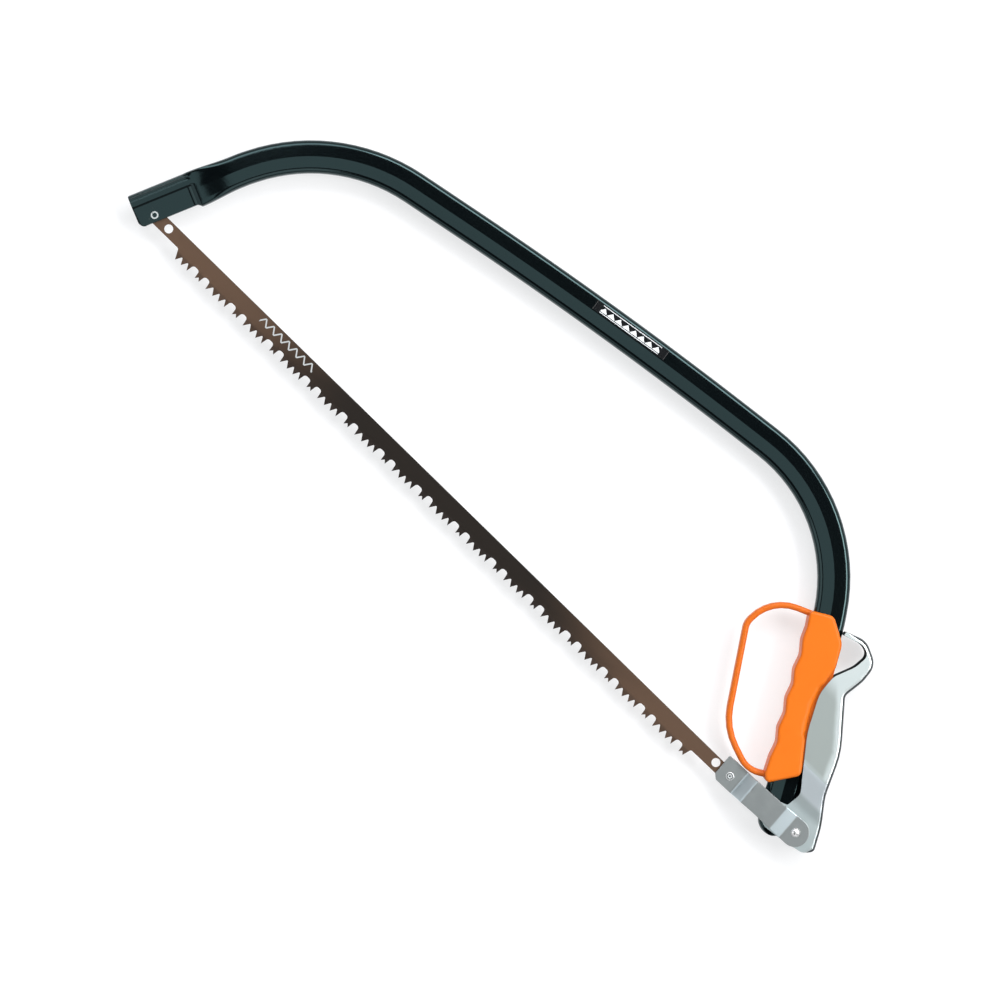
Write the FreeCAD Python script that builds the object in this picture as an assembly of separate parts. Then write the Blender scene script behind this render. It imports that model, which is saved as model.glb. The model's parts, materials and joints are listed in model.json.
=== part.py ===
import FreeCAD, Part
import math
import os

# Bow saw lying on its side: the plane of the saw is XY, the toe points to -X, the bow
# stands towards +Y and +Z is up. The toe and the blade are drawn with the front blade
# hole near (0, 0) and the blade along X. The rear end (rear leg, grip, lever and link) is
# drawn from the rear blade pin, so all of it follows the blade's length. finish() moves
# the whole saw so that the middle of its lower side is the origin. Millimetres.

# blade: a 24 inch peg and raker blade
HOLE_SPAN = 607.0
BLADE_THICK = 0.9
BLADE_BACK = 4.6
NECK_BOTTOM = -6.3
TIP_LINE = -14.0
GULLET = 5.4
RAKER_GULLET = 6.6
TOOTH_PITCHES = (7.3, 6.1, 6.0)
RAKER_FRONT_GAP = 8.2
RAKER_WIDTH = 4.2
RAKER_REAR_GAP = 7.5
RAKER_NOTCH = 2.4
RAKER_SHORT = 0.4
TEETH_START = 34.9
BLADE_END = 8.6
BLADE_HOLE_R = 3.4
SPARE_HOLE = 14.6

# bow tube: rounded six-sided section, corners of the centreline as (x, y, bend radius).
# The crown is a very slack bend at a share of the blade's length, and its arc reaches
# another share of that length to each side.
TUBE_WIDTH = 25.0
TUBE_RIDGE = 7.5
TUBE_OUT = 5.4
TUBE_IN = 6.2
TUBE_WALL = 1.5
FRONT_BEND = (58.8, 137.9, 140.0)
CROWN_SHARE = 0.491
CROWN_UP = 182.7
CROWN_REACH = 0.2124
REAR_BEND = (HOLE_SPAN - 76.2, 209.2, 129.0)
LEG_BEND = (HOLE_SPAN - 28.0, 134.9, 60.0)

# flattened toe: its outer lower corner, then sizes across the leg and up the leg
TOE = (-24.0, -5.0)
TOE_ANGLE = 66.5
TOE_WIDTH = 26.0
SHOULDER_WIDTH = 28.6
SHOULDER_UP = 49.5
SWAGE_LOW = 55.0
SWAGE_HIGH = 79.0
TOE_HALF = 4.6
PANEL_HALF = 2.1
PANEL_FROM = 10.0
SLOT = 1.3

# clearances: running fit, and free air between moving faces
RUN = 0.05
AIR = 0.4

# pivots of the tension linkage; the lever's short arm just clears the round tube end
FRONT_PIN = (0.8, -0.8)
REAR_PIN = (HOLE_SPAN, 0.0)
LEVER_PIVOT = (HOLE_SPAN + 46.8, 0.4)
SPACER_R = 4.2
ARM = TUBE_WIDTH / 2 + SPACER_R + 1.229
ARM_ANGLE = 12.563
LINK_PIVOT = (LEVER_PIVOT[0] + ARM * math.cos(math.radians(ARM_ANGLE)),
              LEVER_PIVOT[1] + ARM * math.sin(math.radians(ARM_ANGLE)))
PIN_R = 2.9
REAR_PIN_R = 1.8
REAR_PIN_HEAD_R = 3.2
RIVET_R = 3.0
RIVET_HEAD = 1.3
RIVET_BRIM = 1.3
LINK_RIVET_R = 2.5
BOSS_R = 10.2
SLEEVE_R = RIVET_R + 1.3

# grip: two shells over the tube, recessed at the rear where the lever closes over them
GRIP_HALF = 14.5
GRIP_RECESS = 10.6
GRIP_OVER = 1.2
TUBE_GAP = 0.05
GUARD_WIDTH = 4.7
GUARD_HALF = 6.8
WAVE = 1.1
WAVE_PITCH = 11.4
SCREW_R = 1.9
SCREW_HEAD_R = 3.6
SCREW_HEAD = 2.5
SCREW_SUNK = 1.5

# tension lever: pressed channel, half widths outside, low over the tube and high over the grip
SHEET = 1.5
LEVER_LOW = TUBE_RIDGE + AIR + SHEET
LEVER_HIGH = GRIP_RECESS + 0.3 + SHEET
JOGGLE_Y = 40.0
JOGGLE_RISE = 6.0

# tension link: two cheeks joined by a fold, inner faces at three distances from the middle
LINK_TILT = 3.6
CHEEK_NARROW = 0.8
CHEEK_WIDE = LEVER_LOW + 1.9 + AIR
CHEEK_REAR = LEVER_LOW + 0.25


def vec(x, y, z=0.0):
    return FreeCAD.Vector(x, y, z)


def from_rear(points):
    """Points given from the rear blade pin, moved to where that pin is."""
    return [(REAR_PIN[0] + p[0],) + tuple(p[1:]) for p in points]


def rounded_edges(corners, closed=True):
    """Edges through (x, y, radius) corners: straight runs joined by tangent arcs."""
    n = len(corners)
    marks = []
    for i in range(n):
        x, y, r = corners[i]
        here = vec(x, y)
        if r <= 0 or (not closed and i in (0, n - 1)):
            marks.append((here, here, here))
            continue
        back = vec(corners[i - 1][0], corners[i - 1][1]) - here
        ahead = vec(corners[(i + 1) % n][0], corners[(i + 1) % n][1]) - here
        reach = 0.5 * (math.pi - back.getAngle(ahead))
        t = r * math.tan(reach)
        ub = back.normalize()
        ua = ahead.normalize()
        inward = (ub + ua).normalize()
        mid = here + inward * (r / math.cos(reach) - r)
        marks.append((here + ub * t, mid, here + ua * t))
    edges = []
    for i in range(n):
        first, mid, last = marks[i]
        if (last - first).Length > 1e-6:
            edges.append(Part.Arc(first, mid, last).toShape())
        if i == n - 1 and not closed:
            break
        start = marks[(i + 1) % n][0]
        if (start - last).Length > 1e-6:
            edges.append(Part.LineSegment(last, start).toShape())
    return edges


def outline(corners):
    return Part.Wire(rounded_edges(corners))


def slab(corners, low, high):
    """Solid of a rounded outline between two heights."""
    face = Part.Face(outline(corners))
    face.translate(vec(0, 0, low))
    return face.extrude(vec(0, 0, high - low))


def rod(at, r, low, high):
    return Part.makeCylinder(r, high - low, vec(at[0], at[1], low))


def both(shape):
    """The shape and its mirror image on the far side of the saw's plane."""
    return [shape, shape.mirror(vec(0, 0, 0), vec(0, 0, 1))]


def join(shapes):
    return shapes[0].fuse(shapes[1:]).removeSplitter()


def along(start, angle, across, up):
    """Point given across and up a leg that rises from start at an angle."""
    c = math.cos(math.radians(angle))
    s = math.sin(math.radians(angle))
    return (start[0] + across * s + up * c, start[1] - across * c + up * s)


def toe_point(across, up):
    return along(TOE, TOE_ANGLE, across, up)


def leg_angle():
    return math.degrees(math.atan2(LEG_BEND[1] - LEVER_PIVOT[1], LEVER_PIVOT[0] - LEG_BEND[0]))


def leg_point(out, down):
    """Point beside the rear leg: out from its axis, and down it from the bend."""
    a = math.radians(leg_angle())
    return (LEG_BEND[0] + out * math.sin(a) + down * math.cos(a),
            LEG_BEND[1] + out * math.cos(a) - down * math.sin(a))


# ---------------------------------------------------------------- bow tube
def tube_section(centre, angle, width, outer, ridge, inner, inset=0.0):
    """Closed section across a leg that rises at an angle; outer edge on the left."""
    half = width / 2.0 - inset
    a = outer - inset
    b = ridge - inset
    c = inner - inset
    r_out = 0.8 * a
    r_in = 0.8 * c
    pts = [(-half, a, r_out), (0, b, 3.0), (half, c, r_in),
           (half, -c, r_in), (0, -b, 3.0), (-half, -a, r_out)]
    wire = Part.Wire(rounded_edges(pts))
    wire.rotate(vec(0, 0, 0), vec(1, 0, 0), 90)
    wire.rotate(vec(0, 0, 0), vec(0, 0, 1), angle - 90)
    wire.translate(vec(centre[0], centre[1]))
    return wire


def bow_path(past):
    start = toe_point(SHOULDER_WIDTH / 2.0 - 0.2, SWAGE_HIGH)
    knee = toe_point(SHOULDER_WIDTH / 2.0 - 0.2, SWAGE_HIGH + 10.0)
    run = math.hypot(LEVER_PIVOT[0] - LEG_BEND[0], LEVER_PIVOT[1] - LEG_BEND[1])
    end = leg_point(0, run + past)
    crown = (CROWN_SHARE * HOLE_SPAN, CROWN_UP)
    rise = math.atan2(crown[1] - FRONT_BEND[1], crown[0] - FRONT_BEND[0])
    fall = math.atan2(REAR_BEND[1] - crown[1], REAR_BEND[0] - crown[0])
    slack = CROWN_REACH * HOLE_SPAN / math.tan(abs(rise - fall) / 2)
    corners = [start + (0,), knee + (60.0,), FRONT_BEND, crown + (slack,), REAR_BEND, LEG_BEND,
               end + (0,)]
    return Part.Wire(rounded_edges(corners, closed=False))


def swept_tube(inset):
    start = toe_point(SHOULDER_WIDTH / 2.0 - 0.2, SWAGE_HIGH)
    section = tube_section(start, TOE_ANGLE, TUBE_WIDTH, TUBE_OUT, TUBE_RIDGE, TUBE_IN, inset)
    return bow_path(TUBE_WIDTH).makePipeShell([section], True, False)


def swage(inset):
    high = toe_point(SHOULDER_WIDTH / 2.0 - 0.2, SWAGE_HIGH)
    low = toe_point(SHOULDER_WIDTH / 2.0, SWAGE_LOW)
    top = tube_section(high, TOE_ANGLE, TUBE_WIDTH, TUBE_OUT, TUBE_RIDGE, TUBE_IN, inset)
    bottom = tube_section(low, TOE_ANGLE, SHOULDER_WIDTH, 3.6, TOE_HALF, 3.6, inset)
    return Part.makeLoft([bottom, top], True, True)


def toe_end():
    def corner(across, up, r):
        return toe_point(across, up) + (r,)
    body = slab([corner(0, 0, 1.5), corner(TOE_WIDTH, 0, 5.0),
                 corner(TOE_WIDTH, SHOULDER_UP - 2.5, 1.2),
                 corner(SHOULDER_WIDTH, SHOULDER_UP - 0.5, 1.8),
                 corner(SHOULDER_WIDTH, SWAGE_LOW + 0.5, 0), corner(0, SWAGE_LOW + 0.5, 0)],
                -TOE_HALF, TOE_HALF)
    # thin rounded outer edge
    edge = toe_point(0, -5)
    chamfer = Part.makePolygon([vec(-1, 0, 3.4), vec(3.0, 0, 6.2), vec(-1, 0, 6.2), vec(-1, 0, 3.4)])
    bevel = Part.Face(chamfer).extrude(vec(0, SWAGE_LOW + 12, 0))
    bevel.rotate(vec(0, 0, 0), vec(0, 0, 1), TOE_ANGLE - 90)
    bevel.translate(vec(edge[0], edge[1]))
    for part in both(bevel):
        body = body.cut(part)
    # pressed panel that grips the blade
    far = SHOULDER_WIDTH + 8
    low = Part.Wire(rounded_edges([corner(PANEL_FROM + 1.6, -8, 0), corner(far, -8, 0),
                                   corner(far, SHOULDER_UP - 1.5, 0),
                                   corner(PANEL_FROM + 1.6, SHOULDER_UP - 1.5, 0)]))
    high = Part.Wire(rounded_edges([corner(PANEL_FROM, -8, 0), corner(far, -8, 0),
                                    corner(far, SHOULDER_UP + 1.5, 0),
                                    corner(PANEL_FROM, SHOULDER_UP + 1.5, 0)]))
    low.translate(vec(0, 0, PANEL_HALF))
    high.translate(vec(0, 0, TOE_HALF + 0.2))
    press = Part.makeLoft([low, high], True, True)
    for part in both(press):
        body = body.cut(part)
    # shallow groove beside the thin edge
    base = toe_point(0, 2.0)
    veer = Part.makePolygon([vec(4.7, 0, TOE_HALF - 0.6), vec(6.0, 0, TOE_HALF + 0.2),
                             vec(3.6, 0, TOE_HALF + 0.2), vec(4.7, 0, TOE_HALF - 0.6)])
    groove = Part.Face(veer).extrude(vec(0, SHOULDER_UP - 2, 0))
    groove.rotate(vec(0, 0, 0), vec(0, 0, 1), TOE_ANGLE - 90)
    groove.translate(vec(base[0], base[1]))
    for part in both(groove):
        body = body.cut(part)
    return body


def toe_hollow():
    def corner(across, up, r):
        return toe_point(across, up) + (r,)
    pocket = slab([corner(2.4, -3, 0), corner(PANEL_FROM - 0.6, -3, 0),
                   corner(PANEL_FROM - 0.6, SWAGE_LOW + 1, 0), corner(2.4, SWAGE_LOW + 1, 0)],
                  -TOE_HALF + TUBE_WALL + 0.4, TOE_HALF - TUBE_WALL - 0.4)
    neck = slab([corner(2.4, SHOULDER_UP + 2.0, 0), corner(SHOULDER_WIDTH - 2.4, SHOULDER_UP + 2.0, 0),
                 corner(SHOULDER_WIDTH - 2.4, SWAGE_LOW + 1, 0), corner(2.4, SWAGE_LOW + 1, 0)],
                -1.6, 1.6)
    blade_slot = slab([corner(PANEL_FROM - 1, -3, 0), corner(TOE_WIDTH + 2, -3, 0),
                       corner(TOE_WIDTH + 2, SHOULDER_UP - 4, 0),
                       corner(PANEL_FROM - 1, SHOULDER_UP - 4, 0)], -SLOT / 2, SLOT / 2)
    return [pocket, neck, blade_slot]


def bow_tube():
    body = swept_tube(0.0).fuse([swage(0.0), toe_end()])
    body = body.cut([swept_tube(TUBE_WALL), swage(TUBE_WALL)] + toe_hollow())
    # round end about the lever pivot
    run = math.hypot(LEVER_PIVOT[0] - LEG_BEND[0], LEVER_PIVOT[1] - LEG_BEND[1])
    beyond = slab([leg_point(-30, run) + (0,), leg_point(30, run) + (0,),
                   leg_point(30, run + 40) + (0,), leg_point(-30, run + 40) + (0,)], -20, 20)
    beyond = beyond.cut(rod(LEVER_PIVOT, TUBE_WIDTH / 2, -21, 21))
    body = body.cut(beyond)
    holes = [rod(FRONT_PIN, PIN_R, -9, 9), rod(LEVER_PIVOT, SLEEVE_R, -9, 9)]
    for at in screw_places():
        holes.append(rod(at, SCREW_R + 0.5, -9, 9))
    return body.cut(holes).removeSplitter()


# ---------------------------------------------------------------- pins and rivets
def pivot_sleeve():
    half = LEVER_LOW - SHEET - RUN
    return rod(LEVER_PIVOT, SLEEVE_R, -half, half).cut(rod(LEVER_PIVOT, RIVET_R + RUN, -half, half))


def spring_pin(at, r, half):
    """Slit rolled pin: a short tube with a bevelled mouth at each end."""
    pin = rod(at, r, -half, half).cut(rod(at, r - 1.1, -half, half))
    slit = Part.makeBox(r + 1, 0.5, 2 * half, vec(at[0] - r - 1, at[1] - 0.25, -half))
    return pin.cut(slit)


def front_blade_pin():
    return spring_pin(FRONT_PIN, PIN_R, PANEL_HALF + 0.9)


def tubular_rivet(at, r, head_r, half, head, bore, bore_depth):
    """Rivet with a bored end rolled over into a rounded rim at each side."""
    end = half + head
    body = rod(at, r, -half, half)
    for z in (half, -end):
        body = body.fuse(rod(at, head_r, z, z + head))
    for z in (end - bore_depth, -end):
        body = body.cut(rod(at, bore, z, z + bore_depth))
    body = body.removeSplitter()
    rims = []
    for edge in body.Edges:
        box = edge.BoundBox
        if box.ZLength < 1e-6 and abs(abs(box.ZMin) - end) < 1e-6 and box.XLength > 2 * head_r - 0.1:
            rims.append(edge)
    return body.makeFillet(0.45 * head, rims)


def rear_blade_pin():
    half = CHEEK_NARROW + SHEET
    return tubular_rivet(REAR_PIN, REAR_PIN_R, REAR_PIN_HEAD_R, half, 1.1, 1.3, 1.0)


def domed_rivet(at, r, head_r, half, head):
    """Round rivet closed with a low dome at each end."""
    ball_r = (head_r ** 2 + head ** 2) / (2 * head)
    body = rod(at, r, -half, half)
    for side in (1, -1):
        ball = Part.makeSphere(ball_r, vec(at[0], at[1], side * (half + head - ball_r)))
        keep = rod(at, head_r + 1, half, half + head + 1)
        if side < 0:
            keep = rod(at, head_r + 1, -half - head - 1, -half)
        body = body.fuse(ball.common(keep))
    return body.removeSplitter()


def lever_pivot_rivet():
    return domed_rivet(LEVER_PIVOT, RIVET_R, RIVET_R + RIVET_BRIM, LEVER_LOW, RIVET_HEAD)


def link_rivet():
    return domed_rivet(LINK_PIVOT, LINK_RIVET_R, 3.7, CHEEK_REAR + SHEET + RUN, 2.0)


def link_spacer():
    half = LEVER_LOW - SHEET - RUN
    outer = rod(LINK_PIVOT, SPACER_R, -half, half)
    return outer.cut(rod(LINK_PIVOT, LINK_RIVET_R, -half, half))


# ---------------------------------------------------------------- blade
def tooth_points():
    """Toothed edge from the front neck to the rear neck: four cutters, then a raker."""
    root = TIP_LINE + GULLET
    deep = TIP_LINE + RAKER_GULLET
    raker = TIP_LINE + RAKER_SHORT
    last = HOLE_SPAN - TEETH_START - RAKER_WIDTH
    x = TEETH_START
    pts = [(x - 4.0, NECK_BOTTOM, 2.0), (x, TIP_LINE, 0)]
    pitches = TOOTH_PITCHES[1:]
    while True:
        for pitch in pitches:
            pts.append((x + pitch / 2, root, 0.7))
            x += pitch
            pts.append((x, TIP_LINE, 0))
        # round gullet, raker with a notch, round gullet
        pts += [(x + 1.3, deep, 2.4), (x + RAKER_FRONT_GAP - 0.9, deep, 2.4)]
        x += RAKER_FRONT_GAP
        pts += [(x, raker, 0), (x + RAKER_WIDTH / 2, raker + RAKER_NOTCH, 0.3)]
        x += RAKER_WIDTH
        pts.append((x, raker, 0))
        if x > last:
            break
        pts += [(x + 0.9, deep, 2.4), (x + RAKER_REAR_GAP - 1.3, deep, 2.4)]
        x += RAKER_REAR_GAP
        pts.append((x, TIP_LINE, 0))
        pitches = TOOTH_PITCHES
    pts.append((x + 2.0, NECK_BOTTOM, 2.0))
    return pts


def saw_blade():
    rear = REAR_PIN[0]
    body = [(FRONT_PIN[0] - BLADE_END, BLADE_BACK, 2.5), (FRONT_PIN[0] - BLADE_END, NECK_BOTTOM, 2.5)]
    body += tooth_points()
    body += [(rear + BLADE_END, NECK_BOTTOM + 0.5, 2.5), (rear + BLADE_END, BLADE_BACK, 2.5)]
    blade = slab(body, -BLADE_THICK / 2, BLADE_THICK / 2)
    spots = [FRONT_PIN, (FRONT_PIN[0] + SPARE_HOLE, FRONT_PIN[1]), REAR_PIN,
             (REAR_PIN[0] - SPARE_HOLE, REAR_PIN[1])]
    return blade.cut([rod(at, BLADE_HOLE_R, -2, 2) for at in spots])


# ---------------------------------------------------------------- tension lever
LEVER_BACK = from_rear([(85.0, 3.2, 2.0), (75.6, 21.0, 60.0), (61.4, 39.6, 40.0), (47.6, 70.8, 70.0),
              (19.2, 104.0, 6.0), (21.4, 121.0, 24.0), (19.8, 136.4, 13.0), (1.8, 145.0, 14.0)])
# the hook ends a named gap off the outer edge of the tube
HOOK_GAP = 0.173
HOOK_TIP = [leg_point(TUBE_WIDTH / 2 + HOOK_GAP + 2.002, 3.241) + (1.0,),
            leg_point(TUBE_WIDTH / 2 + HOOK_GAP, 6.018) + (1.0,)]
LEVER_FRONT = from_rear([(1.6, 140.8, 12.0), (10.6, 138.0, 6.0), (9.6, 125.0, 20.0),
               (2.8, 108.0, 12.0), (3.8, 92.0, 30.0), (17.8, 64.5, 60.0),
               (38.0, 38.5, 30.0), (47.0, 27.5, 8.0), (45.6, 15.0, 2.0)])
LEVER_FOOT = from_rear([(61.0, -6.8, 6.0), (78.0, -3.4, 6.0)])


def lever_wall():
    """Side outline of the lever, without the round boss at its pivot."""
    at_boss = [(LEVER_PIVOT[0] - 3.8, LEVER_PIVOT[1], 0), (LEVER_PIVOT[0] + 1.2, LEVER_PIVOT[1] - 9.4, 0)]
    return LEVER_BACK + HOOK_TIP + LEVER_FRONT + at_boss + LEVER_FOOT


def lever_band(half, low, high):
    """Material of the lever's outline across a half width, between two heights in Y."""
    body = slab(lever_wall(), -half, half)
    body = body.fuse(rod(LEVER_PIVOT, BOSS_R, -half, half))
    keep = Part.makeBox(200, high - low, 2 * half + 2, vec(REAR_PIN[0] - 47, low, -half - 1))
    return body.common(keep)


def lever_hollow(half, low, high):
    """Space inside the channel: the outline moved in from its back by the sheet."""
    back = [(x, y, r) for x, y, r in LEVER_BACK]
    inner = []
    for i, (x, y, r) in enumerate(back):
        prev = back[i - 1] if i else (REAR_PIN[0] + 83.0, -12.0, 0)
        nxt = back[i + 1] if i < len(back) - 1 else HOOK_TIP[0]
        a = vec(x - prev[0], y - prev[1]).normalize()
        b = vec(nxt[0] - x, nxt[1] - y).normalize()
        na = vec(-a.y, a.x)
        nb = vec(-b.y, b.x)
        m = (na + nb) * (SHEET / (1 + na.dot(nb)))
        turn = a.x * b.y - a.y * b.x
        inner.append((x + m.x, y + m.y, max(r - SHEET, 0.5) if turn > 0 else r + SHEET))
    first = inner[0]
    inner[0] = (first[0] + 30.0 * 0.55, first[1] - 30.0 * 0.83, 0)
    tip = HOOK_TIP[0]
    end = (tip[0] - 12.0, tip[1] - 7.6, 0)
    front = from_rear([(-47.0, 100.0, 0), (-7.0, -30.0, 0)])
    body = slab(inner + [end] + front, -half, half)
    keep = Part.makeBox(200, high - low, 2 * half + 2, vec(REAR_PIN[0] - 47, low, -half - 1))
    return body.common(keep)


def joggle(low_half, high_half):
    """Wedge of room between the narrow foot and the wide arm of the lever."""
    pts = [vec(0, JOGGLE_Y, 0), vec(0, JOGGLE_Y, low_half), vec(0, JOGGLE_Y + JOGGLE_RISE, high_half),
           vec(0, JOGGLE_Y + JOGGLE_RISE, 0), vec(0, JOGGLE_Y, 0)]
    wedge = Part.Face(Part.makePolygon(pts)).extrude(vec(200, 0, 0))
    wedge.translate(vec(REAR_PIN[0] - 47, 0, 0))
    return join(both(wedge))


def tension_lever():
    top = 170.0
    rise = JOGGLE_Y + JOGGLE_RISE
    foot = lever_band(LEVER_LOW, -40, JOGGLE_Y)
    arm = lever_band(LEVER_HIGH, rise, top)
    middle = lever_band(LEVER_HIGH, JOGGLE_Y, rise).common(joggle(LEVER_LOW, LEVER_HIGH))
    body = foot.fuse([middle, arm])
    hollow = [lever_hollow(LEVER_LOW - SHEET, -40, JOGGLE_Y),
              lever_hollow(LEVER_HIGH - SHEET, rise, top),
              lever_hollow(LEVER_HIGH - SHEET, JOGGLE_Y, rise).common(
                  joggle(LEVER_LOW - SHEET, LEVER_HIGH - SHEET))]
    body = body.cut(hollow)
    body = body.cut([rod(LEVER_PIVOT, RIVET_R, -20, 20), rod(LINK_PIVOT, LINK_RIVET_R, -20, 20)])
    return body.removeSplitter()


# ---------------------------------------------------------------- tension link
def link_frame(x, y):
    """Point of the link given along it from the rear blade pin, and above it."""
    t = math.radians(LINK_TILT)
    return (REAR_PIN[0] + x * math.cos(t) - y * math.sin(t),
            REAR_PIN[1] + x * math.sin(t) + y * math.cos(t))


def tension_link():
    def corner(x, y, r):
        return link_frame(x, y) + (r,)
    span = math.hypot(LINK_PIVOT[0] - REAR_PIN[0], LINK_PIVOT[1] - REAR_PIN[1])
    plan = [corner(-10.0, -5.2, 1.0), corner(-6.2, -8.8, 1.0), corner(8.0, -9.4, 30.0),
            corner(30.0, -9.4, 30.0), corner(span + 11.6, -11.4, 10.5),
            corner(span + 9.1, 11.0, 10.5), corner(45.0, 10.4, 30.0), corner(16.0, 10.9, 30.0),
            corner(-10.0, 12.0, 1.0)]
    levels = [(-12, CHEEK_NARROW), (8.6, CHEEK_NARROW), (17.6, CHEEK_WIDE),
              (span - 16.9, CHEEK_WIDE), (span - 6.9, CHEEK_REAR), (span + 26, CHEEK_REAR)]
    ribbon = [vec(x, z, 0) for x, z in levels]
    ribbon += [vec(x, z + SHEET, 0) for x, z in reversed(levels)]
    ribbon.append(ribbon[0])
    strip = Part.Face(Part.makePolygon(ribbon)).extrude(vec(0, 0, 60))
    strip.rotate(vec(0, 0, 0), vec(1, 0, 0), 90)
    strip.translate(vec(0, 30, 0))
    strip.rotate(vec(0, 0, 0), vec(0, 0, 1), LINK_TILT)
    strip.translate(vec(REAR_PIN[0], REAR_PIN[1]))
    cheek = strip.common(slab(plan, -1, 20))
    fold = slab([corner(-9.6, 10.4, 0.6), corner(-1.4, 10.1, 0.6), corner(-1.4, 11.6, 0.6),
                 corner(-9.6, 11.9, 0.6)], -CHEEK_NARROW - 0.2, CHEEK_NARROW + 0.2)
    link = join(both(cheek) + [fold])
    holes = [rod(REAR_PIN, REAR_PIN_R, -5, 5), rod(LINK_PIVOT, LINK_RIVET_R + RUN, -20, 20)]
    return link.cut(holes)


# ---------------------------------------------------------------- grip
def screw_places():
    return [leg_point(0, 24.0), leg_point(0, 104.0)]


def grip_body():
    """Handle part of the grip: crown, thin rear edge over the tube, and finger waves."""
    half = TUBE_WIDTH / 2
    rear_top = leg_point(half + GRIP_OVER, 13.0)
    rear_low = leg_point(half + GRIP_OVER, 104.0)
    pts = from_rear([(-45.0, 131.6, 2.0), (-29.0, 141.0, 6.5)])
    pts += [rear_top + (12.0,), rear_low + (1.0,)]
    # waist that leaves room for the lever's joggle, then the lower end
    pts += from_rear([(32.4, JOGGLE_Y + JOGGLE_RISE - 0.4, 1.0), (36.8, JOGGLE_Y - 2.0, 1.5),
                      (21.8, 15.2, 2.0), (16.4, 20.0, 3.0)])
    # finger waves up the front edge
    start = 108.5
    for i in range(9):
        side = WAVE if i % 2 else -WAVE
        down = start - i * WAVE_PITCH
        at = leg_point(-half - 2.9 + side, down)
        pts.append((at[0], at[1], 11.0))
    pts.append(leg_point(-half - 3.0, 7.0) + (3.0,))
    return slab(pts, -GRIP_HALF, GRIP_HALF)


RECESS_EDGE = from_rear([(-0.5, 116.0), (1.6, 96.0), (7.0, 80.5), (17.5, 62.5), (36.8, 37.2)])
CREASE = from_rear([(-4.5, 116.0), (-2.8, 100.0), (2.5, 86.5), (13.0, 69.5), (30.0, 36.0)])


def grip_recess():
    """Room for the lever's walls on both sides of the grip's rear edge, sloped at the front."""
    def ring(line, z):
        pts = [(x, y, 12.0 if 0 < i < len(line) - 1 else 0) for i, (x, y) in enumerate(line)]
        first = line[0]
        last = line[-1]
        pts = [(first[0] + 2.0, first[1] + 30.0, 0)] + pts
        pts += [(last[0] + 6.0, last[1] - 30.0, 0), (REAR_PIN[0] + 113.0, last[1] - 30.0, 0),
                (REAR_PIN[0] + 113.0, first[1] + 30.0, 0)]
        wire = outline(pts)
        wire.translate(vec(0, 0, z))
        return wire
    return Part.makeLoft([ring(RECESS_EDGE, GRIP_RECESS), ring(CREASE, GRIP_HALF + 1.0)], True, True)


def knuckle_guard():
    top, bow = from_rear([(-31.0, 135.4, 0), (-72.0, 118.0, 32.0)])
    rest = from_rear([(-72.0, 91.6, 12.0), (-27.8, 24.2, 48.0), (6.0, 12.6, 20.0), (26.0, 25.0, 0)])
    path = Part.Wire(rounded_edges([top, bow] + rest, closed=False))
    w = GUARD_WIDTH / 2
    h = GUARD_HALF
    ring = outline([(-w, -h, 2.0), (w, -h, 2.0), (w, h, 2.0), (-w, h, 2.0)])
    ring.rotate(vec(0, 0, 0), vec(1, 0, 0), 90)
    slope = math.degrees(math.atan2(top[1] - bow[1], top[0] - bow[0]))
    ring.rotate(vec(0, 0, 0), vec(0, 0, 1), slope - 90)
    ring.translate(vec(top[0], top[1]))
    return path.makePipeShell([ring], True, False)


def whole_grip():
    body = grip_body()
    for part in both(grip_recess()):
        body = body.cut(part)
    body = body.fuse(knuckle_guard())
    bore = swept_tube(-TUBE_GAP)
    return body.cut(bore).removeSplitter()


def grip_halves():
    whole = whole_grip()
    far = Part.makeBox(300, 300, 40, vec(REAR_PIN[0] - 127, -60, -40))
    seat = -GRIP_HALF + SCREW_SUNK + SCREW_HEAD
    lower = whole.common(far)
    upper = whole.cut(far)
    for at in screw_places():
        lower = lower.cut([rod(at, SCREW_R + 0.1, -20, 0), rod(at, SCREW_HEAD_R + 0.4, -20, seat)])
        upper = upper.cut(rod(at, SCREW_R, 0, GRIP_HALF - 2.5))
    return upper, lower


def grip_screws():
    screws = []
    low = -GRIP_HALF + SCREW_SUNK
    seat = low + SCREW_HEAD
    for at in screw_places():
        shank = rod(at, SCREW_R, seat, GRIP_HALF - 3.0)
        head = rod(at, SCREW_HEAD_R, low, seat)
        cross = [Part.makeBox(4.4, 1.0, 1.5, vec(at[0] - 2.2, at[1] - 0.5, low)),
                 Part.makeBox(1.0, 4.4, 1.5, vec(at[0] - 0.5, at[1] - 2.2, low))]
        screws.append(shank.fuse(head).cut(cross).removeSplitter())
    return Part.makeCompound(screws)


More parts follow.
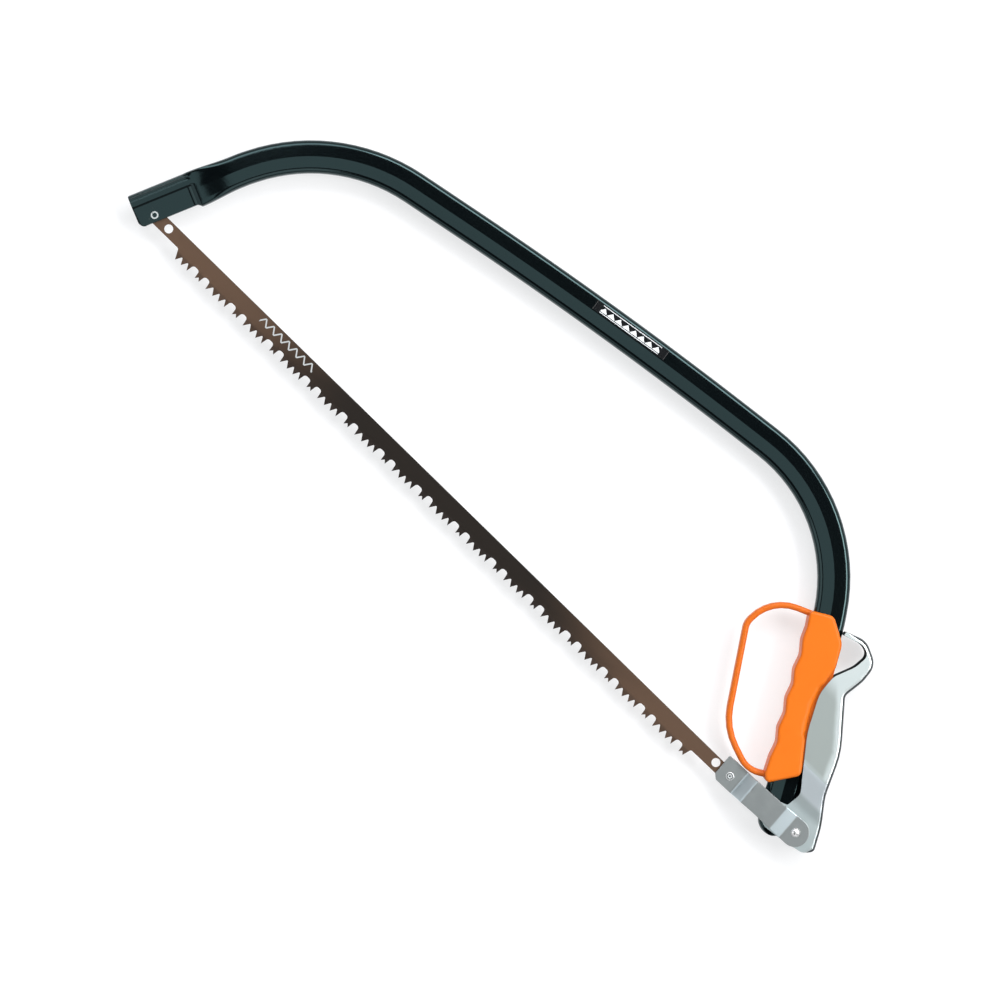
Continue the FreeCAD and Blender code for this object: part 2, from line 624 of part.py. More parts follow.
def finish():
    near, far = grip_halves()
    nodes = {
        "bow_tube": bow_tube(),
        "lever_pivot_sleeve": pivot_sleeve(),
        "front_blade_pin": front_blade_pin(),
        "grip_near_half": near,
        "grip_far_half": far,
        "grip_screws": grip_screws(),
        "saw_blade": saw_blade(),
        "tension_lever": tension_lever(),
        "lever_pivot_rivet": lever_pivot_rivet(),
        "link_rivet": link_rivet(),
        "link_spacer": link_spacer(),
        "tension_link": tension_link(),
        "rear_blade_pin": rear_blade_pin(),
    }
    box = Part.makeCompound(list(nodes.values())).optimalBoundingBox(False)
    shift = vec(-box.Center.x, -box.Center.y, -box.ZMin)
    os.makedirs("parts", exist_ok=True)
    for name, shape in nodes.items():
        shape.translate(shift)
        shape.exportStep("parts/" + name + ".step")
        good = all(s.isValid() for s in shape.Solids)
        print(name, "solids", len(shape.Solids), "valid", good, "volume", round(shape.Volume, 1))
    print("size", round(box.XLength, 2), round(box.YLength, 2), round(box.ZLength, 2))
    pivots = {"front_pin": FRONT_PIN, "rear_pin": REAR_PIN, "lever_pivot": LEVER_PIVOT,
              "link_pivot": LINK_PIVOT}
    for name, at in pivots.items():
        print(name, round(at[0] + shift.x, 3), round(at[1] + shift.y, 3), round(shift.z, 3))


finish()
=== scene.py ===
import json
import math

import bmesh
import bpy
from mathutils import Matrix, Vector

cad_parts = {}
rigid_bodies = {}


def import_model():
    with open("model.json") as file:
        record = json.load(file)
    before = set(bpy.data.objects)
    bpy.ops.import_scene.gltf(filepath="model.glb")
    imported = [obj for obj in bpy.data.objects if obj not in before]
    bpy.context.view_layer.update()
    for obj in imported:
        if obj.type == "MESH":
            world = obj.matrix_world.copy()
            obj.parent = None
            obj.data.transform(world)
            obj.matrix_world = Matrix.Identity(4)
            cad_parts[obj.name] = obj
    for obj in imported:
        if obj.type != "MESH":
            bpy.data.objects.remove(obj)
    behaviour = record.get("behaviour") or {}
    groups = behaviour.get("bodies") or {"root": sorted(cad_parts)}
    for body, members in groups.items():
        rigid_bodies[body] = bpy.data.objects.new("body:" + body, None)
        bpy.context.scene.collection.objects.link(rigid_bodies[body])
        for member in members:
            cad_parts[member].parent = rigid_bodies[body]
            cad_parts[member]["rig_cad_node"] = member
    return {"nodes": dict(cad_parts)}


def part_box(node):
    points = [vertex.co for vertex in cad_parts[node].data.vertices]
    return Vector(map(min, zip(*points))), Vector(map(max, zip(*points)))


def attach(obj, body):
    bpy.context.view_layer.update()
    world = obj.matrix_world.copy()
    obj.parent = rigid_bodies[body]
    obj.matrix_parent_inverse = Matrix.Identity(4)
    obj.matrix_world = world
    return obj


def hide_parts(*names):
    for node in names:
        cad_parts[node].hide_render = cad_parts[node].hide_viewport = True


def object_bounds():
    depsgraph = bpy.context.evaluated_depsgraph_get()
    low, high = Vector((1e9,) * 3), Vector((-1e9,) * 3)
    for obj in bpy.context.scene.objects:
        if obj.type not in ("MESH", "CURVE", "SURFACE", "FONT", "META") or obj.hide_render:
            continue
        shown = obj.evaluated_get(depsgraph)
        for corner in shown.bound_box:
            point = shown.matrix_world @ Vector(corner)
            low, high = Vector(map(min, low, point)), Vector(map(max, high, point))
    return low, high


# A bow saw, lying on its side: a bent tube, a blade stretched across it, and at the rear a
# moulded grip with the lever and link that pull the blade tight.
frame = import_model()
cad_low, cad_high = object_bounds()
nodes = frame["nodes"]


# ---------------------------------------------------------------- bow tube
# The bow is one steel tube, rolled to a flattened six-sided section and bent round to the
# grip. Its front end is swaged flat and slit to take the blade. It is dipped in black
# enamel, glossy on the flats and scuffed at the toe.
MM = 0.001
TUBE_HALF = 12.5
RIDGE = 7.5
OUTER_SIDE = 5.4
INNER_SIDE = 6.2
TUBE_SECTION = [(-TUBE_HALF, OUTER_SIDE, 4.3), (0, RIDGE, 1.2), (TUBE_HALF, INNER_SIDE, 4.9),
                (TUBE_HALF, -INNER_SIDE, 4.9), (0, -RIDGE, 1.2), (-TUBE_HALF, -OUTER_SIDE, 4.3)]
FLAT_RISE = (RIDGE - OUTER_SIDE) / TUBE_HALF
BOW = [(-11.07, -10.62, 0), (24.4, 71.0, 60), (58.8, 137.9, 140), (298.0, 182.7, 3600),
       (530.8, 209.2, 129), (579.0, 134.9, 60), (659.9, -10.5, 0)]
TOE_CORNER = Vector((-24.0, -5.0, 0))
TOE_UP = Vector((0.3987, 0.9171, 0))
TOE_ACROSS = Vector((0.9171, -0.3987, 0))
TOE_AXIS = 14.1
LEG_BEND = Vector((579.0, 134.9, 0))
LEVER_PIVOT = Vector((653.8, 0.4, 0))
# the toe: its swage and shoulder up from its end, then its sizes across, and its corners
SWAGE = (50.0, 82.0)
SHOULDER = (46.8, 50.0)
SHOULDER_WIDE = 28.6
TOE_WIDE = 26.0
PANEL = (9.7, 11.0)
TOE_HALF = 4.6
PANEL_HALF = 2.1
RIM_ROUND = 2.6
FIRST_GROOVE = 2.6
SECOND_GROOVE = 4.7
OUTER_CORNER = 1.5
INNER_CORNER = 5.0
# rows of corners along the straight above the toe, and how far an end of the tube can be
TOE_ROWS = 56
NEAR_END = 60

# Everything is drawn in millimetres from the front blade hole, along the blade and up
# from it, with 0 height in the middle of the saw; placed() takes that to the saw's frame.
pin_low, pin_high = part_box("front_blade_pin")
drawn_zero = (pin_low + pin_high) / 2 - Vector((0.8, -0.8, 0)) * MM


def rounded(corners, closed=True):
    """Points round (x, y, radius) corners, each corner turned by an arc."""
    points = []
    last = len(corners) - 1
    for i, (x, y, radius) in enumerate(corners):
        here = Vector((x, y, 0))
        if radius == 0 or (not closed and i in (0, last)):
            points.append(here)
            continue
        before = corners[i - 1]
        after = corners[0 if i == last else i + 1]
        back = (Vector((before[0], before[1], 0)) - here).normalized()
        ahead = (Vector((after[0], after[1], 0)) - here).normalized()
        half = back.angle(ahead) / 2
        turn = math.pi - 2 * half
        centre = here + (back + ahead).normalized() * (radius / math.sin(half))
        first = here + back * (radius / math.tan(half)) - centre
        final = here + ahead * (radius / math.tan(half)) - centre
        steps = max(2, math.ceil(turn / 0.2), math.ceil(turn * radius / 9))
        for k in range(steps + 1):
            t = k / steps
            arm = first * math.sin((1 - t) * turn) + final * math.sin(t * turn)
            points.append(centre + arm / math.sin(turn))
    return points


def smooth(low, high, value):
    """0 at low, 1 at high, with an eased rise between."""
    t = min(1, max(0, (value - low) / (high - low)))
    return t * t * (3 - 2 * t)


def alone(piece):
    """Selects one piece and nothing else."""
    bpy.ops.object.select_all(action="DESELECT")
    piece.select_set(True)
    bpy.context.view_layer.objects.active = piece


def placed(piece, name, body, finish, crease=30):
    """Takes a drawn piece to its place, shades it, and lets it ride on its body."""
    piece.data.transform(Matrix.Translation(drawn_zero) @ Matrix.Scale(MM, 4))
    alone(piece)
    bpy.ops.object.shade_smooth_by_angle(angle=math.radians(crease))
    level = piece.modifiers.new("level", "WEIGHTED_NORMAL")
    level.keep_sharp = True
    bpy.ops.object.modifier_apply(modifier="level")
    piece.name = name
    piece.data.materials.clear()
    piece.data.materials.append(finish)
    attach(piece, body)
    return piece


def flat_face(points):
    """A filled face whose corners are the given points."""
    bpy.ops.object.select_all(action="DESELECT")
    bpy.ops.mesh.primitive_circle_add(vertices=len(points), radius=1, fill_type="NGON")
    piece = bpy.context.object
    for vertex, point in zip(piece.data.vertices, points):
        vertex.co = point
    return piece


def swept(path, section):
    """A bar of one section along a path, both given as points, with its ends filled."""
    curves = []
    for points, closed in ((path, False), (section, True)):
        curve = bpy.data.curves.new("line", "CURVE")
        curve.dimensions = "2D" if closed else "3D"
        line = curve.splines.new("POLY")
        line.points.add(len(points) - 1)
        for mark, point in zip(line.points, points):
            mark.co = (*point, 1)
        line.use_cyclic_u = closed
        holder = bpy.data.objects.new("line", curve)
        bpy.context.scene.collection.objects.link(holder)
        curves.append(holder)
    bar, outline = curves
    bar.data.twist_mode = "Z_UP"
    bar.data.bevel_mode = "OBJECT"
    bar.data.bevel_object = outline
    bar.data.use_fill_caps = True
    alone(bar)
    bpy.ops.object.convert(target="MESH")
    bpy.data.objects.remove(outline)
    bpy.ops.object.mode_set(mode="EDIT")
    bpy.ops.mesh.select_all(action="SELECT")
    bpy.ops.mesh.remove_doubles(threshold=0.001)
    bpy.ops.mesh.normals_make_consistent(inside=False)
    bpy.ops.object.mode_set(mode="OBJECT")
    return bar


def cut(piece, tool, operation="DIFFERENCE"):
    """Cuts a tool from a piece, or joins it to it, and removes the tool."""
    change = piece.modifiers.new("cut", "BOOLEAN")
    change.operation = operation
    change.solver = "EXACT"
    change.object = tool
    alone(piece)
    bpy.ops.object.modifier_apply(modifier="cut")
    bpy.data.objects.remove(tool)


def block(low, high, turn=0.0, origin=(0, 0, 0)):
    """A plain block to cut with, given by two corners about an origin and turned flat."""
    bpy.ops.object.select_all(action="DESELECT")
    bpy.ops.mesh.primitive_cube_add(size=1)
    piece = bpy.context.object
    low, high = Vector(low), Vector(high)
    size = high - low
    piece.data.transform(Matrix.Translation((low + high) / 2) @ Matrix.Diagonal((*size, 1)))
    piece.data.transform(Matrix.Translation(origin) @ Matrix.Rotation(turn, 4, "Z"))
    return piece


class Wire:
    """A value on its way through a finish: arithmetic on it adds the maths nodes."""

    def __init__(self, tree, socket):
        self.tree = tree
        self.socket = socket

    def node(self, kind, settings, inputs, output=0):
        """Adds one node: its settings first, then the values or wires of its inputs."""
        made = self.tree.nodes.new("ShaderNode" + kind)
        for name, value in settings.items():
            setattr(made, name, value)
        for key, value in inputs.items():
            if isinstance(value, Wire):
                self.tree.links.new(value.socket, made.inputs[key])
            else:
                made.inputs[key].default_value = value
        return Wire(self.tree, made.outputs[output])

    def maths(self, operation, *terms):
        return self.node("Math", {"operation": operation}, dict(enumerate(terms)))

    def __add__(self, other):
        return self.maths("ADD", self, other)

    __radd__ = __add__

    def __sub__(self, other):
        return self.maths("SUBTRACT", self, other)

    def __rsub__(self, other):
        return self.maths("SUBTRACT", other, self)

    def __mul__(self, other):
        return self.maths("MULTIPLY", self, other)

    __rmul__ = __mul__

    def away(self, other, x, y):
        """Distance from a place x, y, where this carries x and the other y."""
        return self.node("Math", {"operation": "SQRT"},
                         {0: (self - x) * (self - x) + (other - y) * (other - y)})

    def least(self, other):
        return self.maths("MINIMUM", self, other)

    def __abs__(self):
        return self.maths("ABSOLUTE", self)

    def within(self, low, high):
        """0 at low, 1 at high and an eased rise between; low may be the greater."""
        return self.node("MapRange", {"interpolation_type": "SMOOTHSTEP"},
                         {"Value": self, "From Min": low, "From Max": high})

    def blend(self, first, second):
        """The first colour where this is 0 and the second where it is 1."""
        return self.node("Mix", {"data_type": "RGBA"}, {0: self, 6: first, 7: second}, 2)

    def noise(self, scale, detail=3.0, stretch=(1, 1, 1), turn=0.0):
        """Cloudy pattern over the place that this wire carries, with scale marks a metre."""
        at = self.node("Mapping", {}, {"Vector": self, "Rotation": (0, 0, turn), "Scale": stretch})
        return self.node("TexNoise", {}, {"Vector": at, "Scale": scale, "Detail": detail})

    def drawn(self):
        """The place in drawn millimetres: along the blade, up from it, and off its plane."""
        shift = [-v / MM for v in drawn_zero]
        at = self.node("Mapping", {}, {"Vector": self, "Location": shift, "Scale": (1 / MM,) * 3})
        return [at.node("SeparateXYZ", {}, {"Vector": at}, axis) for axis in "XYZ"]

    def bump(self, height, strength, depth):
        return self.node("Bump", {}, {"Height": height, "Strength": strength, "Distance": depth})


def new_finish(name, **inputs):
    """A new finish, with plain values set on its main shader; also its place wire."""
    finish = bpy.data.materials.new(name)
    finish.use_nodes = True
    place = Wire(finish.node_tree, None).node("TexCoord", {}, {}, "Object")
    feed(finish, **inputs)
    return finish, place


def feed(finish, **inputs):
    """Sets or links the main shader's sockets, named with _ for a space."""
    shader = finish.node_tree.nodes["Principled BSDF"]
    for name, value in inputs.items():
        socket = shader.inputs[name.replace("_", " ")]
        if isinstance(value, Wire):
            value.tree.links.new(value.socket, socket)
        else:
            socket.default_value = value


def toe_half(across):
    """Half thickness of the pressed toe at a distance from its outer edge."""
    rim = TOE_HALF * min(1, math.sqrt(max(0, across) / RIM_ROUND))
    first = 0.45 * (1 - smooth(0, 0.5, abs(across - FIRST_GROOVE)))
    second = 0.7 * (1 - smooth(0, 0.6, abs(across - SECOND_GROOVE)))
    panel = smooth(*PANEL, across) * (TOE_HALF - PANEL_HALF)
    return rim - first - second - panel


def corner_lift(from_edge, radius):
    """How far a corner of that radius lifts the toe's end, at a distance from the edge."""
    short = min(radius, max(0, radius - from_edge))
    return radius - math.sqrt(radius * radius - short * short)


def swaged(point, up):
    """Where a point of the plain tube goes when its toe is pressed flat."""
    from_axis = (point - TOE_CORNER).dot(TOE_ACROSS) - TOE_AXIS
    flat = 1 - smooth(*SWAGE, up)
    step = smooth(*SHOULDER, up)
    inner = (TOE_WIDE + (SHOULDER_WIDE - TOE_WIDE) * step) - TOE_AXIS
    wide = TOE_AXIS if from_axis < 0 else inner
    across = from_axis * (1 + flat * (wide / TUBE_HALF - 1)) + TOE_AXIS
    if across < OUTER_CORNER:
        low = corner_lift(across, OUTER_CORNER)
    else:
        low = corner_lift(TOE_WIDE - across, INNER_CORNER)
    up = max(up, low)
    pressed = 1 - smooth(SHOULDER[0] - 1.5, SHOULDER[1] + 0.5, up)
    thin = toe_half(across) * pressed + TOE_HALF * (1 - pressed)
    edge = min(abs(point.z), thin)
    z = math.copysign(abs(point.z) + flat * (edge - abs(point.z)), point.z)
    place = TOE_CORNER + TOE_UP * up + TOE_ACROSS * across
    return Vector((place.x, place.y, z))


def shaped(point):
    """Where a point of the plain tube ends up: pressed at the toe, rounded at the tail."""
    up = (point - TOE_CORNER).dot(TOE_UP)
    if up < SWAGE[1] and point.x < NEAR_END:
        return swaged(point, up)
    axis = (LEVER_PIVOT - LEG_BEND).normalized()
    beyond = (point - LEVER_PIVOT).dot(axis)
    if beyond > 0 and point.y < NEAR_END:
        side = Vector((-axis.y, axis.x, 0))
        narrow = math.sqrt(max(0, 1 - (beyond / TUBE_HALF) ** 2))
        return point + side * (point - LEVER_PIVOT).dot(side) * (narrow - 1)
    return point


# Extra lines along both flats keep the toe's grooves crisp.
section = rounded(TUBE_SECTION)
for side in (1, -1):
    for a in (-7.6, -7.0, -4.6, -4.0, -3.4, -2.8):
        section.append(Vector((a, side * (RIDGE + FLAT_RISE * a), 0)))
section.sort(key=lambda p: math.atan2(p.y, p.x))
path = rounded(BOW, closed=False)
straight = [path[0].lerp(path[1], k / TOE_ROWS) for k in range(TOE_ROWS)]
axis = (path[-1] - path[-2]).normalized()
tail = [LEVER_PIVOT + axis * TUBE_HALF * math.sin(math.radians(k * 9)) for k in range(10)]
tube = swept(straight + path[1:-1] + tail, section)
for vertex in tube.data.vertices:
    vertex.co = shaped(vertex.co)
toe_turn = math.atan2(TOE_UP.y, TOE_UP.x)
cut(tube, block((-4, -30, -0.65), (45.5, -9, 0.65), toe_turn, TOE_CORNER))
cut(tube, block((-4, -9.6, -2.6), (24, -2.6, 2.6), toe_turn, TOE_CORNER))

enamel, place = new_finish("black_enamel", Specular_Tint=(0.58, 0.92, 0.94, 1),
                           Specular_IOR_Level=0.6)
x, y, z = place.drawn()
across = (x - TOE_CORNER.x) * TOE_ACROSS.x + (y - TOE_CORNER.y) * TOE_ACROSS.y
up = (x - TOE_CORNER.x) * TOE_UP.x + (y - TOE_CORNER.y) * TOE_UP.y
peel = place.noise(420, 2.0)
sag = place.noise(12, 2.0)
scuff = place.noise(260, 6.0).within(0.66, 0.72) * up.within(26, 4)
groove = abs(across - 4.9).within(1.3, 0.2) + abs(across - 2.3).within(1.0, 0.1)
groove = groove * up.within(50, 44)
feed(enamel,
     Base_Color=scuff.blend((0.0018, 0.0028, 0.0034, 1), (0.05, 0.055, 0.056, 1)),
     Roughness=0.09 + 0.05 * sag + 0.25 * scuff,
     Normal=place.bump(0.05 * peel - groove, 0.8, 0.0005))
placed(tube, "bow_tube_swaged", "frame", enamel, 24)
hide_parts("bow_tube")


# ---------------------------------------------------------------- label
# A thin glossy label is stuck on the upper flat of the bow, over the middle of its long
# run. It carries a plain white row of saw teeth between two fine lines and no lettering.
LABEL_MIDDLE = Vector((318.2, 188.3, 6.74))
LABEL_TURN = math.radians(8.4)
LABEL_LONG = 66.0
LABEL_WIDE = 8.4
LABEL_THICK = 0.06
TOOTH_HALF_PITCH = 3.5
FLAT_SLOPE = math.atan(FLAT_RISE)

bpy.ops.object.select_all(action="DESELECT")
bpy.ops.mesh.primitive_grid_add(x_subdivisions=12, y_subdivisions=2, size=1)
label = bpy.context.object
label.data.transform(Matrix.Diagonal((LABEL_LONG, LABEL_WIDE, 1, 1)))
backing = label.modifiers.new("backing", "SOLIDIFY")
backing.thickness = LABEL_THICK
backing.offset = 1
alone(label)
bpy.ops.object.modifier_apply(modifier="backing")
tilt = Matrix.Rotation(-FLAT_SLOPE, 4, "X")
turn = Matrix.Rotation(LABEL_TURN, 4, "Z")
label.data.transform(Matrix.Translation(LABEL_MIDDLE) @ turn @ tilt)

film, place = new_finish("label_film", Roughness=0.16)
x, y, z = place.drawn()
along = (x - LABEL_MIDDLE.x) * math.cos(LABEL_TURN) + (y - LABEL_MIDDLE.y) * math.sin(LABEL_TURN)
over = (y - LABEL_MIDDLE.y) * math.cos(LABEL_TURN) - (x - LABEL_MIDDLE.x) * math.sin(LABEL_TURN)
saw_teeth = along.node("Math", {"operation": "PINGPONG"}, {0: along, 1: TOOTH_HALF_PITCH}) * 1.1 - 1.9
inked = (saw_teeth - over).within(0.0, 0.3) * over.within(-2.1, -1.9)
lines = abs(abs(over) - 2.9).within(0.35, 0.2)
ink = (inked + lines) * abs(along).within(27.2, 27.0)
rim = abs(along).within(32.4, 32.6)
base = rim.blend((0.006, 0.007, 0.008, 1), (0.05, 0.05, 0.05, 1))
feed(film, Base_Color=ink.blend(base, (0.80, 0.82, 0.83, 1)))
placed(label, "bow_label", "frame", film)


# ---------------------------------------------------------------- blade
# The blade is punched from brown lacquered spring steel: groups of four cutting teeth with
# a raker between two round gullets, and a spare hole at each end. The cutters are set, bent
# left and right in turn. Its print is a plain zigzag line in grey ink.
TOOTH_GROUP = (7.3, 6.1, 6.0)
GROUP_GAP = 8.2 + 4.2 + 7.5
TEETH_START = 34.9
TEETH_END = 572.0
TOOTH_ROOT = -8.6
TIP_LINE = -14.0
TOOTH_SET = 0.45
TOOTH_REACH = 3.4
PRINT = (112.5, 168.5)

tips = [TEETH_START]
for pitch in TOOTH_GROUP[1:]:
    tips.append(tips[-1] + pitch)
while tips[-1] + GROUP_GAP + sum(TOOTH_GROUP) < TEETH_END:
    tips.append(tips[-1] + GROUP_GAP)
    for pitch in TOOTH_GROUP:
        tips.append(tips[-1] + pitch)

alone(nodes["saw_blade"])
bpy.ops.object.duplicate()
blade = bpy.context.object
del blade["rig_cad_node"]
blade.parent = None
bpy.ops.object.mode_set(mode="EDIT")
bpy.ops.mesh.select_all(action="SELECT")
bpy.ops.mesh.remove_doubles(threshold=0.000002)
bpy.ops.object.mode_set(mode="OBJECT")
for vertex in blade.data.vertices:
    point = (vertex.co - drawn_zero) / MM
    if point.y > TOOTH_ROOT:
        continue
    nearest = min(range(len(tips)), key=lambda k: abs(tips[k] - point.x))
    if abs(tips[nearest] - point.x) > TOOTH_REACH:
        continue
    side = 1 if nearest % 2 else -1
    share = (TOOTH_ROOT - point.y) / (TOOTH_ROOT - TIP_LINE)
    vertex.co.z += side * TOOTH_SET * share * MM
blade.data.transform(Matrix.Scale(1 / MM, 4) @ Matrix.Translation(-drawn_zero))

lacquer, place = new_finish("brown_lacquered_steel", Metallic=0.3,
                            Specular_IOR_Level=0.35)
x, y, z = place.drawn()
rolled = place.noise(800, 4.0, (0.05, 1, 1))
cloud = place.noise(11, 3.0, (1, 3, 1))
middle = (abs(x - 300) + 90 * cloud).within(290, 130)
edge = 1 - y.within(-9.4, -7.0) * y.within(4.7, 3.6)
marks = abs(x.node("Math", {"operation": "PINGPONG"}, {0: x, 1: 4.0}) * 1.4 - (y + 3.2))
teeth = marks.within(1.0, 0.8) * y.within(-3.3, -3.1) * y.within(2.5, 2.3)
print_mark = teeth * x.within(PRINT[0], PRINT[0] + 0.5) * x.within(PRINT[1], PRINT[1] - 0.5)
print_mark = print_mark * z.within(0.3, 0.4)
brown = middle.blend((0.118, 0.068, 0.042, 1), (0.014, 0.009, 0.006, 1))
brown = (0.4 * edge).blend(brown, (0.022, 0.015, 0.012, 1))
feed(lacquer,
     Base_Color=(0.9 * print_mark).blend(brown, (0.60, 0.62, 0.62, 1)),
     Roughness=0.30 + 0.14 * rolled,
     Normal=place.bump(rolled, 0.12, 0.0001))
placed(blade, "blade_set", "blade", lacquer, 30)
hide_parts("saw_blade")


# ---------------------------------------------------------------- tension lever
# The lever is one blank of zinc-plated sheet pressed into a channel: a web along its back,
# a wall each side and a hook at the tip that snaps over the bow. Its walls are joggled
# wider where they pass over the grip, and riveted to the bow and the link.
LEVER_BACK = [(692.0, 3.2, 4), (682.6, 21.0, 60), (668.4, 39.6, 40), (654.6, 70.8, 70),
              (626.2, 104.0, 6), (628.4, 121.0, 24), (626.8, 136.4, 13), (608.8, 145.0, 14),
              (593.4, 139.2, 1)]
LEVER_FRONT = [(593.0, 135.8, 1), (608.6, 140.8, 12), (617.6, 138.0, 6), (616.6, 125.0, 20),
               (609.8, 108.0, 12), (610.8, 92.0, 30), (624.8, 64.5, 60), (645.0, 38.5, 30),
               (654.0, 27.5, 8), (652.6, 15.0, 2), (643.6, 11.5, 5), (643.6, -9.8, 9),
               (668.0, -6.8, 6), (685.0, -3.4, 6)]
SHEET = 1.5
LEVER_LOW = 9.4
LEVER_HIGH = 12.4
LEVER_FOLD = 3.0
JOGGLE = 20.0
JOGGLE_RISE = 26.0
# a corner of the back, and which way is square to its stretches above and below
BACK_CORNER = (654.6, 70.8)
ABOVE_OUT = (0.760, 0.650)
BELOW_OUT = (0.922, 0.387)


def pick(kind, test):
    """In edit mode, selects just the faces, edges or corners that pass a test."""
    bpy.ops.mesh.select_mode(type=kind)
    bpy.ops.mesh.select_all(action="DESELECT")
    mesh = bmesh.from_edit_mesh(bpy.context.object.data)
    parts = {"FACE": mesh.faces, "EDGE": mesh.edges, "VERT": mesh.verts}[kind]
    for part in parts:
        part.select_set(bool(test(part)))
    mesh.select_flush_mode()
    bmesh.update_edit_mesh(bpy.context.object.data)


def prism(points, low, high):
    """A flat face drawn up from one height to another; left open in edit mode."""
    piece = flat_face(points)
    piece.data.transform(Matrix.Translation((0, 0, low)))
    alone(piece)
    bpy.ops.object.mode_set(mode="EDIT")
    bpy.ops.mesh.select_all(action="SELECT")
    bpy.ops.mesh.extrude_region_move(TRANSFORM_OT_translate={"value": (0, 0, high - low)})
    bpy.ops.mesh.select_all(action="SELECT")
    bpy.ops.mesh.normals_make_consistent(inside=False)
    return piece


def near(points, place, reach):
    """Whether a place lies within reach of one of the points, seen from above."""
    return any(math.hypot(place.x - p.x, place.y - p.y) < reach for p in points)


def between(points, place, reach):
    """Whether a place lies within reach of the line through the points, from above."""
    flat = Vector((place.x, place.y, 0))
    for start, end in zip(points, points[1:]):
        line = end - start
        t = min(1, max(0, (flat - start).dot(line) / max(line.length_squared, 1e-9)))
        if (start + line * t - flat).length < reach:
            return True
    return False


def ruled(lows, highs, pitch):
    """Divides the piece in edit mode by planes a pitch apart, along X and along Y."""
    for axis in (0, 1):
        mark = lows[axis]
        while mark < highs[axis]:
            at = [0, 0, 0]
            at[axis] = mark
            normal = [0, 0, 0]
            normal[axis] = 1
            bpy.ops.mesh.select_all(action="SELECT")
            bpy.ops.mesh.bisect(plane_co=at, plane_no=normal)
            mark += pitch


outline = rounded(LEVER_BACK + LEVER_FRONT)
back_end = next(i for i, p in enumerate(outline) if p.x < 597.0)
back_line = outline[:back_end + 1]
front_line = outline[back_end + 2:]


def pressed_wall(point):
    """Half width of the lever at a point: low by the pivot, high over the grip."""
    rise = min(1, max(0, (point.y - JOGGLE) / JOGGLE_RISE))
    wide = LEVER_LOW + (LEVER_HIGH - LEVER_LOW) * rise
    return Vector((point.x, point.y, point.z * wide / LEVER_LOW))


lever = prism(outline, -LEVER_LOW, LEVER_LOW)
pick("EDGE", lambda edge: abs(edge.verts[0].co.z - edge.verts[1].co.z) < 0.01
     and all(near(back_line, vert.co, 0.01) for vert in edge.verts))
bpy.ops.mesh.bevel(offset=LEVER_FOLD, segments=5, affect="EDGES", clamp_overlap=False)
pick("FACE", lambda face: abs(face.normal.z) < 0.2
     and between(front_line, face.calc_center_median(), 0.3))
bpy.ops.mesh.delete(type="FACE")
ruled((594, -9), (692, 145), 2.6)
bpy.ops.object.mode_set(mode="OBJECT")
for vertex in lever.data.vertices:
    vertex.co = pressed_wall(vertex.co)
wall = lever.modifiers.new("sheet", "SOLIDIFY")
wall.thickness = SHEET
wall.offset = -1
wall.use_even_offset = True
alone(lever)
bpy.ops.object.modifier_apply(modifier="sheet")

zinc, place = new_finish("bright_zinc", Metallic=1.0)
x, y, z = place.drawn()
cloud = place.noise(55, 4.0)
drawn_grain = place.noise(1300, 3.0, (0.1, 1, 1), 0.95)
spots = place.noise(700, 2.0).within(0.60, 0.70)
# in from the two straight stretches of its back, the arm's wall is painted darker: painted shade
# standing for a shallow dish that the flat wall does not have
below = (BACK_CORNER[0] - x) * BELOW_OUT[0] + (BACK_CORNER[1] - y) * BELOW_OUT[1]
above = (BACK_CORNER[0] - x) * ABOVE_OUT[0] + (BACK_CORNER[1] - y) * ABOVE_OUT[1]
painted_dish_shade = (below.least(above) + 2 * cloud).within(5.0, 9.5) * y.within(45, 50) * y.within(110, 94)
# where the wall rises over the joggle it is painted pale blue: a painted highlight on the slope
painted_joggle_highlight = y.within(26, 30) * y.within(46.5, 45.5)
# the web and its rounded folds are painted near black: a painted dark reflection, not a darker
# plating
rise = y.node("MapRange", {}, {"Value": y, "From Min": JOGGLE, "From Max": JOGGLE + JOGGLE_RISE})
fold = (abs(z) + (LEVER_HIGH - LEVER_LOW) * (1 - rise)).within(12.25, 12.0)
tone = cloud.blend((0.54, 0.62, 0.63, 1), (0.66, 0.72, 0.72, 1))
# above the joggle the arm is painted much paler: a painted reflection of the lights on the same plate
# as below it
tone = (0.8 * y.within(44, 50)).blend(tone, (0.92, 0.98, 0.97, 1))
tone = (0.85 * painted_dish_shade).blend(tone, (0.46, 0.50, 0.475, 1))
tone = (0.75 * painted_joggle_highlight).blend(tone, (0.88, 0.94, 0.99, 1))
feed(zinc,
     Base_Color=(0.94 * fold).blend(tone, (0.03, 0.036, 0.04, 1)),
     Roughness=0.33 + 0.06 * drawn_grain + 0.06 * spots,
     Normal=place.bump(drawn_grain, 0.03, 0.00004))
placed(lever, "tension_lever_pressed", "lever", zinc, 30)
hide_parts("tension_lever")


# ---------------------------------------------------------------- tension link
# The link ties the blade to the lever: a cheek each side, folded together over the top at
# the blade end, stepped out round the tube and in again at the lever. Satin zinc plate.
LINK_TILT = math.radians(3.6)
LINK_PLAN = [(-10.0, -5.2, 1), (-6.2, -8.8, 1), (8.0, -9.4, 30), (30.0, -9.4, 30),
             (76.0, -11.4, 10.5), (73.5, 11.0, 10.5), (45.0, 10.4, 30), (16.0, 10.9, 30),
             (-10.0, 12.0, 1)]
LINK_STEPS = [(-12, 2.3), (8.6, 2.3), (17.6, 13.2), (47.5, 13.2), (57.5, 11.15), (90, 11.15)]
LINK_RIM = 0.35
REAR_PIN = Vector((607.0, 0.0, 0))


def link_height(along):
    """Height of a cheek's outside along the link, each bend eased over a short stretch."""
    total = 0
    for shift in (-1.2, -0.6, 0, 0.6, 1.2):
        at = along + shift
        for (start, low), (end, high) in zip(LINK_STEPS, LINK_STEPS[1:]):
            if start <= at <= end:
                total += low + (high - low) * (at - start) / (end - start)
                break
    return total / 5


